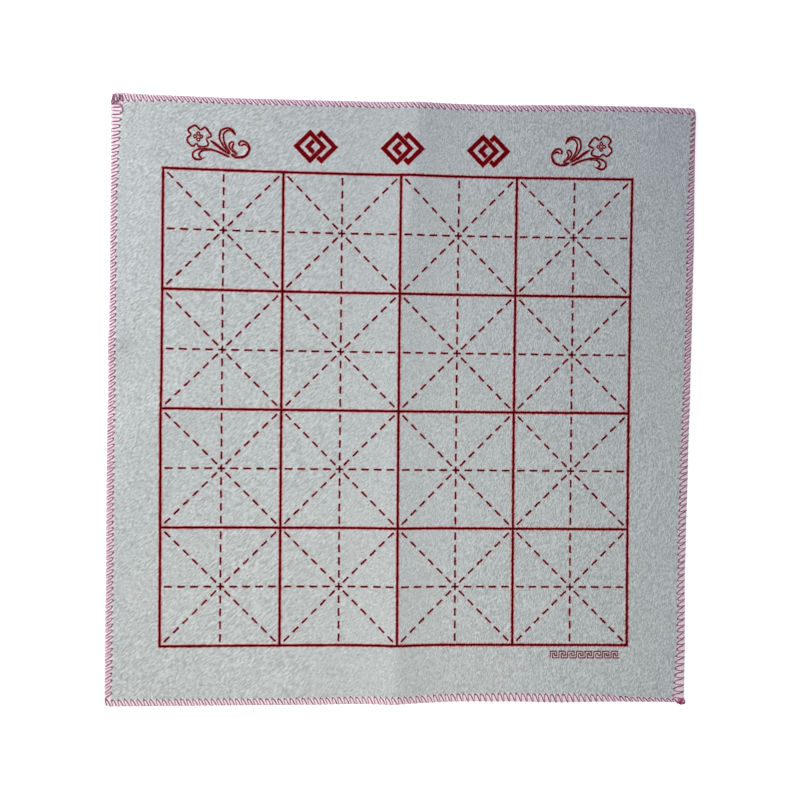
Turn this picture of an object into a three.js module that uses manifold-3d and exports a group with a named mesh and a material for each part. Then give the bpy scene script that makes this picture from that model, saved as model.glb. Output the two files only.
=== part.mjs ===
// A felt practice mat for brush calligraphy: a felt sheet with overlocked edges and a printed practice grid.
// Millimetres, +Z up. The origin is the middle of the underside, +Y points to the heading at the head edge.
import * as THREE from "three";
import { mergeVertices } from "three/addons/utils/BufferGeometryUtils.js";
import Module from "manifold-3d";

const wasm = await Module();
wasm.setup();

// Practice grid
const CELL = 100; // side of one practice cell, between line centres
const COLUMNS = 4;
const ROWS = 4;
const GRID_LINE = 2; // width of the solid lines
const GUIDE_LINE = 1.2; // width of the guide lines inside a cell
const GUIDE_END_GAP = 2.2; // bare felt between a straight guide's end and the solid line
const DIAGONAL_END_GAP = 2.8; // bare felt between a diagonal guide's end and the cell's inner corner

// Felt between the centre of the outer grid line and the finished edge
const MARGIN_LEFT = 43.5;
const MARGIN_RIGHT = 52.5;
const MARGIN_HEAD = 62;
const MARGIN_FOOT = 50;

// Felt sheet and ink film
const FELT_THICKNESS = 3;
const CORNER_RADIUS = 4;
const CORNER_SEGMENTS = 6;
const INK_THICKNESS = 0.12;
const CUT_PAST = 1; // overrun of a cut beyond the faces it opens

// Overlock edging
const STITCH_PITCH = 5.4; // length of one stitch along the edge
const STITCH_BIGHT = 5.4; // reach of a stitch, from the finished edge to its inner turn
const LONG_LEG_SHARE = 0.65; // part of the pitch that the slanting leg takes, before the steeper return leg
const LOOPER_WIDTH = 1.5; // width of a looper thread's leg, measured square to the edge
const NEEDLE_WIDTH = 0.8;
const NEEDLE_GAP = 0.3; // between the loopers' inner turns and the needle thread
const THREAD_HEIGHT = 0.5;
const THREAD_SINK = 0.1; // depth of the threads' outer side below the felt's faces
const RUN_GAP = 0.5; // between a side run's end and the head or foot run
const BAND_GAP = 0.3; // between the needle thread and the rise to the felt's full thickness
const BAND_RISE = 1.2; // width of that rise

// Heading row above the grid
const HEADING_SHIFT = 1; // offset of the whole row to the right of the grid's middle
const HEADING_MARKS = ["left", "middle", "right"];
const MARK_FOOT_GAP = 6.25; // bare felt between the grid's head line and the marks
const MARK_WIDTH = 39;
const MARK_HEIGHT = 29.5;
const MARK_STROKE = 4;
const MARK_GAP = 35; // between two marks

// Flower scrolls beside the heading
const FLOWER_FOOT_GAP = 6.9; // bare felt between the grid's head line and the scroll's lowest point
const FLOWER_GAP = 35; // between the outer mark and the scroll
const FLOWER_STROKE = 1;
const FLOWER_UNIT = 1; // millimetres in one unit of the drawn points and of the stamens
const FLOWER_STEPS = 3; // straight steps in each stretch of a drawn curve
const STAMEN_SPREAD = 2.35; // units from the flower's centre to a stamen's centre
const STAMEN_OVERLAP = 0.1; // units by which each stamen ring runs into the next
const STAMEN_SIDES = 10;

// Small fret border under the grid
const FRET_HEAD_GAP = 3.8; // bare felt between the grid's foot line and the border
const FRET_INSET = 5.4; // distance of its right end from the grid's right line
const FRET_HEIGHT = 7;
const FRET_STROKE = 1.1;
const FRET_REPEATS = 8;

// Drawn points of the left flower scroll, from the flower's centre. Each petal runs from notch to notch.
const PETALS = [
  [[-5.7, 1.3], [-8.3, 4.7], [-6.4, 7.4], [-2.2, 8.8], [1.7, 5.1]],
  [[1.7, 5.1], [5.4, 7.6], [8.4, 4.8], [10.6, 0.7], [6.2, -1.5]],
  [[6.2, -1.5], [8.3, -5.4], [7.2, -7.5], [1.3, -8.4], [-1.4, -5.8]],
  [[-1.4, -5.8], [-4.6, -8.0], [-7.8, -5.8], [-9.1, -2.4], [-5.7, 1.3]],
];
const SCROLL = {
  stem: [[9.6, -2.6], [15.6, -6.6], [19.0, -9.1], [25.8, -13.9]],
  leaf_back: [[31.2, 1.7], [28.2, 6.0], [23.9, 7.8], [18.9, 5.6], [17.6, 0], [20.0, -7], [25.8, -13.6]],
  leaf_front: [[26.8, 6.7], [23.0, 5.4], [20.9, 2.0], [21.5, -3.5], [24.4, -9.8], [28.4, -14.6]],
  curl_back: [[30.4, -4.2], [27.6, -3.5], [25.6, -6.4], [27.4, -10.5], [31.0, -13.6], [34.0, -15.6]],
  curl_front: [[30.4, -4.2], [28.5, -6.8], [29.6, -10.2], [33.9, -14.4], [34.0, -15.6]],
  spiral: [
    [35.5, -6.8], [33.8, -5.0], [36.3, -2.3], [41.0, -4.4], [42.5, -9.4],
    [39.2, -14.8], [33.4, -16.4], [28.8, -15.0], [25.8, -13.4],
  ],
  spiral_front: [[35.5, -6.8], [37.9, -5.1], [40.9, -6.2], [42.5, -9.4]],
  frond_back: [
    [28.6, -15.3], [19.0, -12.9], [10.5, -10.3], [2.0, -10.1], [-3.4, -12.6],
    [-4.3, -16.6], [-0.5, -19.1], [5.7, -17.1],
  ],
  frond_front: [[3.3, -17.9], [0.6, -14.9], [4.4, -11.2], [12.8, -11.1]],
};

// Turns of one repeat of the fret border, in steps of a third of its height
const FRET_TURNS = [[0, 0], [0, 3], [3, 3], [3, 1], [2, 1], [2, 2], [1, 2], [1, 0]];
const FRET_ROWS = 3;
const FRET_COLUMNS = 4; // steps from one repeat to the next

const matWidth = MARGIN_LEFT + COLUMNS * CELL + MARGIN_RIGHT;
const matLength = MARGIN_FOOT + ROWS * CELL + MARGIN_HEAD;
const gridLeft = -matWidth / 2 + MARGIN_LEFT;
const gridRight = gridLeft + COLUMNS * CELL;
const gridFoot = -matLength / 2 + MARGIN_FOOT;
const gridHead = gridFoot + ROWS * CELL;
const headingX = (gridLeft + gridRight) / 2 + HEADING_SHIFT;
const pressDepth = THREAD_HEIGHT + THREAD_SINK;
const needleInset = STITCH_BIGHT + NEEDLE_GAP;
const bandWidth = needleInset + NEEDLE_WIDTH + BAND_GAP;

const FELT = { color: 0xc8cdcb, roughness: 0.97, metalness: 0 };
const INK = { color: 0x941626, roughness: 0.85, metalness: 0 };
const THREAD = { color: 0xcd789b, roughness: 0.7, metalness: 0 };

const mat = new THREE.Group();

function addPiece(parent, name, geometry, look) {
  const mesh = new THREE.Mesh(geometry, new THREE.MeshStandardMaterial(look));
  mesh.name = name;
  parent.add(mesh);
  return mesh;
}

function solidFrom(geometry) {
  const bare = geometry.clone();
  bare.deleteAttribute("normal");
  bare.deleteAttribute("uv");
  const merged = mergeVertices(bare, 1e-4);
  const vertProperties = merged.getAttribute("position").array;
  const triVerts = new Uint32Array(merged.index.array);
  return new wasm.Manifold(new wasm.Mesh({ numProp: 3, vertProperties, triVerts }));
}

function geometryFrom(solid) {
  const { vertProperties, triVerts } = solid.getMesh();
  const geometry = new THREE.BufferGeometry();
  geometry.setAttribute("position", new THREE.BufferAttribute(vertProperties, 3));
  geometry.setIndex(new THREE.BufferAttribute(triVerts, 1));
  geometry.computeVertexNormals();
  return geometry;
}

function joined(geometries) {
  return geometryFrom(geometries.map(solidFrom).reduce((sum, next) => sum.add(next)));
}

function plate(shape, height) {
  const options = { depth: height, bevelEnabled: false, curveSegments: CORNER_SEGMENTS };
  return new THREE.ExtrudeGeometry(shape, options);
}

function roundedRectangle(width, length, radius) {
  const x = width / 2 - radius;
  const y = length / 2 - radius;
  const shape = new THREE.Shape();
  shape.absarc(x, y, radius, 0, Math.PI / 2);
  shape.absarc(-x, y, radius, Math.PI / 2, Math.PI);
  shape.absarc(-x, -y, radius, Math.PI, 1.5 * Math.PI);
  shape.absarc(x, -y, radius, 1.5 * Math.PI, 2 * Math.PI);
  return shape;
}

function rectangle(left, foot, right, head) {
  return [
    new THREE.Vector2(left, foot),
    new THREE.Vector2(right, foot),
    new THREE.Vector2(right, head),
    new THREE.Vector2(left, head),
  ];
}

// The two sides of a stroke along a line of points, mitred at each point.
function strokeSides(points, width, closed) {
  const count = points.length;
  const left = [];
  const right = [];
  points.forEach((point, i) => {
    const before = points[closed ? (i + count - 1) % count : Math.max(i - 1, 0)];
    const after = points[closed ? (i + 1) % count : Math.min(i + 1, count - 1)];
    const into = (before === point ? after.clone().sub(point) : point.clone().sub(before)).normalize();
    const out = (after === point ? into.clone() : after.clone().sub(point)).normalize();
    const along = into.clone().add(out).normalize();
    const across = new THREE.Vector2(-along.y, along.x);
    across.multiplyScalar(width / 2 / along.dot(into));
    left.push(point.clone().add(across));
    right.push(point.clone().sub(across));
  });
  return { left, right };
}

function openStroke(points, width) {
  const { left, right } = strokeSides(points, width, false);
  return new THREE.Shape(right.concat(left.reverse()));
}

function closedStroke(points, width) {
  const { left, right } = strokeSides(points, width, true);
  const clockwise = THREE.ShapeUtils.isClockWise(points);
  const shape = new THREE.Shape(clockwise ? left : right);
  shape.holes.push(new THREE.Path(clockwise ? right : left));
  return shape;
}

function drawnCurve(points) {
  const knots = points.map(([x, y]) => new THREE.Vector2(x, y).multiplyScalar(FLOWER_UNIT));
  return new THREE.SplineCurve(knots).getPoints((knots.length - 1) * FLOWER_STEPS);
}

// Full-thickness felt with a thinner band round it, where the stitches press the felt together.
function feltSheet() {
  const inset = 2 * (bandWidth + BAND_RISE);
  const raised = roundedRectangle(matWidth - inset, matLength - inset, CORNER_RADIUS);
  const core = new THREE.ExtrudeGeometry(raised, {
    depth: FELT_THICKNESS - 2 * pressDepth,
    bevelThickness: pressDepth,
    bevelSize: BAND_RISE,
    bevelSegments: 1,
    curveSegments: CORNER_SEGMENTS,
  });
  core.translate(0, 0, pressDepth);
  const cutWidth = matWidth - 2 * THREAD_HEIGHT;
  const cutLength = matLength - 2 * THREAD_HEIGHT;
  const band = plate(roundedRectangle(cutWidth, cutLength, CORNER_RADIUS), FELT_THICKNESS - 2 * pressDepth);
  band.translate(0, 0, pressDepth);
  return joined([core, band]);
}

// A looper thread's zig-zag along an edge on the line y = 0, with the mat on the side of negative y.
function looperRun(length) {
  const stitches = Math.max(1, Math.round(length / STITCH_PITCH));
  const pitch = length / stitches;
  const reach = STITCH_BIGHT - LOOPER_WIDTH;
  const outerSide = [new THREE.Vector2(-length / 2, 0)];
  for (let i = 0; i < stitches; i += 1) {
    const start = i * pitch - length / 2;
    outerSide.push(new THREE.Vector2(start + LONG_LEG_SHARE * pitch, -reach));
    outerSide.push(new THREE.Vector2(start + pitch, 0));
  }
  const innerSide = outerSide.map((point) => new THREE.Vector2(point.x, point.y - LOOPER_WIDTH));
  return plate(new THREE.Shape(innerSide.concat(outerSide.reverse())), THREAD_HEIGHT);
}

function needleRun(length) {
  const strip = rectangle(-length / 2, -needleInset - NEEDLE_WIDTH, length / 2, -needleInset);
  return plate(new THREE.Shape(strip), THREAD_HEIGHT);
}

// The three threads of one edge, in a group turned so that its own +Y points out over that edge.
function addEdging(name, turn, length, distance) {
  const edge = new THREE.Group();
  edge.rotation.z = turn;
  mat.add(edge);
  const upper = addPiece(edge, `${name}_edge_upper_looper`, looperRun(length), THREAD);
  upper.position.set(0, distance, FELT_THICKNESS - pressDepth);
  const lower = addPiece(edge, `${name}_edge_lower_looper`, looperRun(length), THREAD);
  lower.position.set(0, distance, THREAD_SINK);
  const needle = addPiece(edge, `${name}_edge_needle_thread`, needleRun(length), THREAD);
  needle.position.set(0, distance, FELT_THICKNESS - pressDepth);
}

function addAllEdging() {
  const cornerCut = CORNER_RADIUS * (1 - Math.SQRT1_2);
  const acrossRun = matWidth - 2 * cornerCut;
  const sideRun = matLength - 2 * (needleInset + NEEDLE_WIDTH + RUN_GAP);
  addEdging("head", 0, acrossRun, matLength / 2);
  addEdging("right", -Math.PI / 2, sideRun, matWidth / 2);
  addEdging("foot", Math.PI, acrossRun, matLength / 2);
  addEdging("left", Math.PI / 2, sideRun, matWidth / 2);
}

function gridLines() {
  const half = GRID_LINE / 2;
  const outline = rectangle(gridLeft - half, gridFoot - half, gridRight + half, gridHead + half);
  const film = solidFrom(plate(new THREE.Shape(outline), INK_THICKNESS));
  const bare = CELL - GRID_LINE;
  const windows = [];
  for (let row = 0; row < ROWS; row += 1) {
    for (let column = 0; column < COLUMNS; column += 1) {
      const window = new THREE.BoxGeometry(bare, bare, INK_THICKNESS + 2 * CUT_PAST);
      window.translate(gridLeft + (column + 0.5) * CELL, gridFoot + (row + 0.5) * CELL, INK_THICKNESS / 2);
      windows.push(solidFrom(window));
    }
  }
  return geometryFrom(windows.reduce((rest, window) => rest.subtract(window), film));
}

// The guides of one cell: a star of eight arms, upright, level and diagonal.
function cellGuides() {
  const clear = (CELL - GRID_LINE) / 2;
  const straight = clear - GUIDE_END_GAP;
  const diagonal = clear * Math.SQRT2 - GUIDE_LINE / 2 - DIAGONAL_END_GAP;
  const half = GUIDE_LINE / 2;
  const arms = 8;
  const between = Math.PI / arms;
  const crotch = half / Math.sin(between);
  const outline = [];
  for (let arm = 0; arm < arms; arm += 1) {
    const angle = 2 * arm * between;
    const reach = arm % 2 === 0 ? straight : diagonal;
    const along = new THREE.Vector2(Math.cos(angle), Math.sin(angle));
    const across = new THREE.Vector2(-along.y, along.x).multiplyScalar(half);
    const tip = along.multiplyScalar(reach);
    outline.push(tip.clone().sub(across));
    outline.push(tip.clone().add(across));
    const middle = angle + between;
    outline.push(new THREE.Vector2(crotch * Math.cos(middle), crotch * Math.sin(middle)));
  }
  return plate(new THREE.Shape(outline), INK_THICKNESS);
}

// Two lozenge rings side by side that run through each other.
function lozengeMark() {
  const outer = MARK_HEIGHT / 2;
  const reach = outer - MARK_STROKE * Math.SQRT1_2;
  const ring = [
    new THREE.Vector2(reach, 0),
    new THREE.Vector2(0, reach),
    new THREE.Vector2(-reach, 0),
    new THREE.Vector2(0, -reach),
  ];
  const shift = MARK_WIDTH / 2 - outer;
  const left = plate(closedStroke(ring, MARK_STROKE), INK_THICKNESS);
  const right = left.clone();
  left.translate(-shift, 0, 0);
  right.translate(shift, 0, 0);
  return joined([left, right]);
}

function fretBorder() {
  const step = (FRET_HEIGHT - FRET_STROKE) / FRET_ROWS;
  const foot = -FRET_ROWS / 2;
  const path = [];
  for (let repeat = 0; repeat < FRET_REPEATS; repeat += 1) {
    const start = (repeat - FRET_REPEATS) * FRET_COLUMNS;
    FRET_TURNS.forEach(([x, y]) => path.push(new THREE.Vector2((start + x) * step, (foot + y) * step)));
  }
  path.push(new THREE.Vector2(0, foot * step));
  return plate(openStroke(path, FRET_STROKE), INK_THICKNESS);
}

// A path whose two ends reach half a stroke further, so that the stroke ends square over its end points.
function squareEnded(path, width) {
  const longer = path.map((point) => point.clone());
  const last = path.length - 1;
  longer[0].add(path[0].clone().sub(path[1]).setLength(width / 2));
  longer[last].add(path[last].clone().sub(path[last - 1]).setLength(width / 2));
  return longer;
}

// Four petal strokes that run into each other at the notches.
function petalOutline() {
  const strokes = PETALS.map((petal) => {
    const edge = squareEnded(drawnCurve(petal), FLOWER_STROKE);
    return plate(openStroke(edge, FLOWER_STROKE), INK_THICKNESS);
  });
  return joined(strokes);
}

function stamenRings() {
  const spread = STAMEN_SPREAD * FLOWER_UNIT;
  const outer = spread * Math.SQRT1_2 + STAMEN_OVERLAP * FLOWER_UNIT;
  const radius = outer - FLOWER_STROKE / 2;
  const rings = [0, 1, 2, 3].map((quarter) => {
    const angle = (quarter * Math.PI) / 2;
    const ring = [];
    for (let side = 0; side < STAMEN_SIDES; side += 1) {
      const turn = (2 * Math.PI * (side + 0.5)) / STAMEN_SIDES;
      ring.push(new THREE.Vector2(radius * Math.cos(turn), radius * Math.sin(turn)));
    }
    const geometry = plate(closedStroke(ring, FLOWER_STROKE), INK_THICKNESS);
    geometry.translate(spread * Math.cos(angle), spread * Math.sin(angle), 0);
    return geometry;
  });
  return joined(rings);
}

function scrollStrokes() {
  const strokes = Object.values(SCROLL).map((points) => openStroke(drawnCurve(points), FLOWER_STROKE));
  return joined(strokes.map((stroke) => plate(stroke, INK_THICKNESS)));
}

// A flower with its scroll. The left one is as drawn, the right one its mirror image.
function addFlower(print, name, mirror) {
  const reach = Math.max(...SCROLL.spiral.map(([x]) => x)) * FLOWER_UNIT + FLOWER_STROKE / 2;
  const depth = -Math.min(...SCROLL.frond_back.map(([, y]) => y)) * FLOWER_UNIT + FLOWER_STROKE / 2;
  const marks = HEADING_MARKS.length;
  const rowHalf = (marks * MARK_WIDTH + (marks - 1) * MARK_GAP) / 2;
  const flower = new THREE.Group();
  flower.position.x = headingX - mirror * (rowHalf + FLOWER_GAP + reach);
  flower.position.y = gridHead + GRID_LINE / 2 + FLOWER_FOOT_GAP + depth;
  flower.scale.x = mirror;
  print.add(flower);
  addPiece(flower, `${name}_flower_petals`, petalOutline(), INK);
  addPiece(flower, `${name}_flower_stamens`, stamenRings(), INK);
  addPiece(flower, `${name}_flower_scroll`, scrollStrokes(), INK);
}

function addPrint() {
  const print = new THREE.Group();
  print.position.z = FELT_THICKNESS;
  mat.add(print);
  addPiece(print, "grid_lines", gridLines(), INK);
  for (let row = 0; row < ROWS; row += 1) {
    for (let column = 0; column < COLUMNS; column += 1) {
      const guides = addPiece(print, `cell_guides_row${row + 1}_col${column + 1}`, cellGuides(), INK);
      guides.position.set(gridLeft + (column + 0.5) * CELL, gridHead - (row + 0.5) * CELL, 0);
    }
  }
  HEADING_MARKS.forEach((place, i) => {
    const mark = addPiece(print, `heading_mark_${place}`, lozengeMark(), INK);
    mark.position.x = headingX + (i - (HEADING_MARKS.length - 1) / 2) * (MARK_WIDTH + MARK_GAP);
    mark.position.y = gridHead + GRID_LINE / 2 + MARK_FOOT_GAP + MARK_HEIGHT / 2;
  });
  addFlower(print, "left", 1);
  addFlower(print, "right", -1);
  const fret = addPiece(print, "foot_fret_border", fretBorder(), INK);
  fret.position.x = gridRight - FRET_INSET;
  fret.position.y = gridFoot - GRID_LINE / 2 - FRET_HEAD_GAP - FRET_HEIGHT / 2;
}

addPiece(mat, "felt_sheet", feltSheet(), FELT);
addAllEdging();
addPrint();

export default mat;
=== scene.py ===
import math
import random

import bpy
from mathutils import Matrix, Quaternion, Vector, noise


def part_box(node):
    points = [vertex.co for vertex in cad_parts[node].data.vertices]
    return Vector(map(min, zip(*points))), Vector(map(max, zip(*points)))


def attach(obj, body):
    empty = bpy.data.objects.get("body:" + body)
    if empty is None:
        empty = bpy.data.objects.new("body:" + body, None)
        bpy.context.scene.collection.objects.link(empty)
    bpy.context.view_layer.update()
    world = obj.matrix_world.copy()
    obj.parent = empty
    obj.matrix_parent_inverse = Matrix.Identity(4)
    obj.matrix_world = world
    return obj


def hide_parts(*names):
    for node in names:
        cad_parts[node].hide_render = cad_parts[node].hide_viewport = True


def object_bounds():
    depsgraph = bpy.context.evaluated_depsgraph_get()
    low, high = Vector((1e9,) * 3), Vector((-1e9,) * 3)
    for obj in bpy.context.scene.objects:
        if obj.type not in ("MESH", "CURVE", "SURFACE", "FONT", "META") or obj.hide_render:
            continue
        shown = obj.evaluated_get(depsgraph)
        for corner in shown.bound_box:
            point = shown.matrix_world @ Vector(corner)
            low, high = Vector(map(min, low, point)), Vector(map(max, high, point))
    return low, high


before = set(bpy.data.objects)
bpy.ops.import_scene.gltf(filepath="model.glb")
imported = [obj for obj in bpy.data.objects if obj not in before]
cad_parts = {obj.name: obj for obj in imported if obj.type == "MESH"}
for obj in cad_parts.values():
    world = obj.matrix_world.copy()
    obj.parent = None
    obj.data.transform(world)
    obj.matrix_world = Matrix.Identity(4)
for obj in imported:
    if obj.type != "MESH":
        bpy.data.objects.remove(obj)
cad_low, cad_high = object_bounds()

MM = 0.001

# Felt sheet
FELT_THICK = 3.0 * MM
MID_LEVEL = FELT_THICK / 2
PRESS_DEPTH = 0.35 * MM  # how far the stitches press each face in
PRESS = (0.5, 1.35)  # where the felt rises out of the stitches' press, as shares of their depth
FLUFF_AND_HIGHLIGHT = (0.75, 1.2)  # where the thread's fluff on the felt, painted pale and pink with painted highlight, thins out, as shares of the stitches' depth
RIM_ROUND = 0.9 * MM
RIM_HALF_HEIGHT = 0.2 * MM
CORNER_ROUND = 4.0 * MM
# Lines of the sheet beside its edges, in mm from the cut
EDGE_RINGS = (0, 0.2, 0.55, 1.0, 1.8, 3.0, 4.4, 5.6, 6.4, 7.2, 8.0, 9.0, 10.2, 11.6, 14.0)
FIELD_COLUMNS = 126
FIELD_ROWS = 100
SPREAD_STEPS = 2000  # steps in which the lines between the edges are spread
FLAT_HEIGHT = 1.0  # height of the unshaped sheet, which only tells its two faces apart
SWAY_REACH = 45 * MM  # how far into the sheet the edge's sway dies out

# Lift of the sheet off the table
FOLD_X = -4.2 * MM
FOLD_HEIGHT = 2.2 * MM
FOLD_LEFT_FLANK = 49 * MM
FOLD_RIGHT_FLANK = 44 * MM
FOLD_CREST_ROUND = 0.05
FOLD_HEAD_SHIFT = 14 * MM
FOLD_CROWDING = 3.5  # how much closer the sheet's columns stand beside the fold
FOLD_CROWD_X = FOLD_X + FOLD_HEAD_SHIFT / 3
FOLD_CROWD_REACH = 18 * MM
FOLD_HEAD_RISE = 1.3 * MM
FOLD_HEAD_FLANK = 8 * MM
FOLD_HEAD_START = 66 * MM
FOLD_FOOT_RISE = 2.0 * MM
FOLD_FOOT_START = 50 * MM
WRINKLE_PLACE = (-200 * MM, -15 * MM)
WRINKLE_TURN = math.radians(24)
WRINKLE_LENGTH = 40 * MM
WRINKLE_WIDTH = 19 * MM
WRINKLE_HEIGHT = 2.0 * MM
# Where the sheet doesn't lie flat: x, y, reach along x and along y, height, in mm
LIFTS = (
    (-234, -60, 52, 66, 3.2),  # slack stretch of the left edge
    (-244, 47, 13, 13, 3.2),  # pucker in its seam
    (-210, 120, 30, 105, 1.0),  # roll beside its head half
    (258, 60, 42, 95, 1.2),  # slack stretch of the right edge
    (212, 240, 22, 40, 0.8),  # turned-down head corner
)
# Unevenness all over the sheet: height, waves to the metre, and the level of the noise that gives it
UNEVENNESS = ((0.22 * MM, 17.0, 0.7), (0.07 * MM, 55.0, 5.3))

# How far each side of the sewn mat stands outside its nominal line: (place along the side, shift), in mm
EDGE_SWAY = {
    "head": ((-248, 1.5), (-205, 0.6), (-141, -0.1), (-77, 0.15), (19, 0.4), (83, 0.5), (125, 1.7),
             (150, 2.4), (248, 2.6)),
    "foot": ((-248, 1.8), (-69, 1.8), (-27, 1.3), (14, 0.85), (48, 0.2), (97, 0.65), (140, 1.8),
             (185, 1.4), (221, 1.8), (248, 2.6)),
    "left": ((-256, 1.5), (-188, 1.3), (-131, 0.9), (-73, 0.5), (14, 0.35), (72, 0.0), (158, -0.1),
             (256, -0.3)),
    "right": ((-256, 0.0), (-218, 0.3), (-185, -0.1), (-151, -0.6), (-118, -0.2), (-51, 0.6), (15, 1.4),
              (82, 2.1), (149, 3.0), (216, 3.0), (256, 3.4)),
}

# How deep the stitches of each side reach into the felt: (place along the side, depth), in mm
STITCH_DEPTH = {
    "head": ((-248, 8.0), (-236, 6.9), (-222, 6.1), (-200, 5.3), (92, 5.5), (140, 5.5), (182, 4.7),
             (215, 4.7), (240, 5.6)),
    "foot": ((-248, 6.0), (-88, 6.0), (-43, 6.5), (2, 6.6), (47, 7.1), (92, 7.6), (140, 7.6), (170, 6.8),
             (192, 5.2), (215, 4.2), (248, 3.6)),
    "left": ((-256, 6.2), (-141, 6.4), (39, 6.2), (84, 5.7), (129, 5.7), (174, 6.0), (205, 6.8),
             (230, 8.0), (245, 9.2)),
    "right": ((-256, 10.0), (-240, 9.6), (-228, 8.8), (-205, 7.4), (-141, 7.0), (-75, 7.4), (-6, 6.8),
              (39, 5.8), (84, 6.0), (129, 6.3), (160, 6.5), (184, 5.8), (202, 5.2), (221, 4.5), (256, 4.3)),
}

# How far a stitch leans along its side on the way to its full depth: (place along the side, share of
# the pitch)
STITCH_LEAN = {
    "head": ((-248, 0.45), (-235, 0.60), (-215, 0.80), (248, 0.85)),
    "foot": ((-248, 0.60), (150, 0.60), (195, 0.80), (248, 0.50)),
    "left": ((-256, 0.75), (150, 0.70), (215, 0.50), (240, 0.15), (256, 0.0)),
    "right": ((-256, 0.35), (-228, 0.45), (-195, 0.80), (150, 0.88), (200, 0.65), (256, 0.55)),
}
# How far the two legs of a stitch stand apart at the cut edge: (place along the side, share)
STITCH_OPENING = {
    "head": ((-248, 0.0), (248, 0.1)),
    "foot": ((-248, 0.15), (30, 0.2), (70, 0.65), (170, 0.75), (195, 0.35), (248, 0.2)),
    "left": ((-256, 0.1), (256, 0.1)),
    "right": ((-256, 0.85), (-60, 0.75), (0, 0.45), (60, 0.2), (195, 0.1), (225, -0.7), (256, -0.8)),
}
# Length of a stitch: (place along the side, length), in mm
STITCH_PITCH = {
    "head": ((-248, 4.8), (-205, 4.9), (-149, 5.25), (-94, 5.35), (-39, 5.55), (45, 5.45), (127, 5.7),
             (182, 5.8), (248, 5.6)),
    "foot": ((0, 5.1),),
    "left": ((-119, 5.1), (-64, 4.95), (-9, 5.15), (46, 5.3), (101, 5.35), (156, 5.45), (211, 5.7)),
    "right": ((-256, 5.7), (-210, 5.6), (-60, 5.5), (20, 5.3), (105, 5.35), (150, 5.2), (190, 4.9),
              (215, 4.5), (256, 4.3)),
}

# Overlock threads
LOOPER_RADIUS = 0.5 * MM
NEEDLE_RADIUS = 0.36 * MM
KNOT_RADIUS = 0.55 * MM
THREAD_STEPS = 1  # bevel steps of a thread
THREAD_SIDES = 6  # sides that these steps give it
CAP_RINGS = 2  # rings of its two ends, which come first in its mesh
# How far a run of stitches goes on into its last corner
RUN_ON = {"head": 0.0, "right": 3.0 * MM, "foot": 0.5 * MM, "left": 0.0}
UNDER_FACE = 0.8  # the under side's thread lies flatter, with the mat's weight on it
UNDER_PHASE = 0.5  # share of the pitch by which the under side's stitches lie further on
RIM_LAP = 0.7 * MM  # how far a looper's thread lies in from the nominal line where it laps the rim
STITCH_SLIP = 0.06  # seeded unevenness, as a share of the pitch
DEPTH_SLIP = 0.06
DEEP_HALF = 0.5  # share of the depth past which a stitch's own unevenness counts
END_CROWDING = 0.25  # share of the pitch that is left to a stitch which the run's end cuts short
LEAST_STEP = 0.05 * MM  # points of a thread's run stand further apart than this
NEAR_PULL = 9  # how much more a point put between two others follows them than the next two
SEAM_GAP = 0.002 * MM  # points nearer than this are made one
TWIST_LAY = 1.2 * MM  # length of thread from one ply to the next
TWIST_PLIES = 2
RETURN_START = 0.35  # share of the pitch at which a stitch turns back to the edge
# One stitch of a looper: share of the pitch along the edge, share of the stitch's depth, mm from the
# felt's middle, then the thread's thickness and paleness there. The paleness is painted light: the first
# leg lies full and is painted dark as shade, the leg back to the edge thinner and painted paler as
# highlight, and where the thread laps the rim it is painted pale as highlight
LOOPER_STITCH = (
    (0.00, 0.00, 0.50, 1.00, 0.60),
    (0.02, 0.07, 1.05, 1.00, 0.45),
    (0.02, 0.26, 1.27, 1.00, 0.12),
    (0.01, 0.50, 1.29, 1.00, 0.04),
    (0.00, 0.75, 1.25, 1.00, 0.04),
    (0.03, 0.92, 1.18, 0.95, 0.10),
    (0.14, 1.00, 1.14, 0.90, 0.20),
    (0.29, 1.00, 1.14, 0.90, 0.26),
    (0.41, 0.92, 1.18, 0.85, 0.24),
    (0.47, 0.75, 1.25, 0.85, 0.24),
    (0.50, 0.50, 1.31, 0.85, 0.30),
    (0.53, 0.26, 1.29, 0.85, 0.40),
    (0.56, 0.07, 1.05, 0.85, 0.50),
    (0.60, 0.00, 0.50, 0.95, 0.50),
    (0.70, -0.03, 0.15, 0.90, 0.30),
    (0.90, -0.03, 0.15, 0.90, 0.30),
)
# One stitch of the needle thread, which only shows where it ties a loop down
NEEDLE_STITCH = (
    (0.02, 1.12, 0.25, 0.8, 0.1),
    (0.17, 1.13, 0.95, 0.9, 0.1),
    (0.20, 1.07, 1.45, 1.0, 0.05),
    (0.21, 0.98, 1.62, 1.0, 0.0),
    (0.22, 0.90, 1.45, 1.0, 0.05),
    (0.25, 0.84, 0.80, 0.9, 0.1),
    (0.40, 0.90, 0.25, 0.8, 0.1),
)
# Ends of the seam, in mm in the mat's frame: (x, y, level from the felt's middle)
START_TAILS = (
    ((-245.4, 256.4, 0.5), (-245.3, 254.6, 1.5), (-245.3, 251.8, 1.7), (-244.8, 249.8, 1.7),
     (-245.5, 248.5, 1.6), (-246.9, 247.1, 1.2)),
    ((-247.3, 248.6, 0.9), (-246.6, 251.0, 1.6), (-245.6, 253.8, 1.8), (-244.4, 255.4, 1.7),
     (-243.2, 254.0, 1.9), (-242.4, 251.6, 1.8), (-241.8, 249.4, 1.7), (-241.0, 250.4, 1.7),
     (-240.6, 252.8, 1.8), (-239.8, 255.2, 1.6), (-238.6, 253.6, 1.8), (-237.4, 250.6, 1.5)),
)
END_HOOK = ((-247.2, 247.4, 0.8), (-245.4, 247.6, 1.5), (-242.4, 247.7, 1.6), (-239.8, 246.8, 1.6),
            (-238.3, 244.9, 1.6), (-237.8, 242.7, 1.5), (-238.1, 240.9, 1.2))
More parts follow.
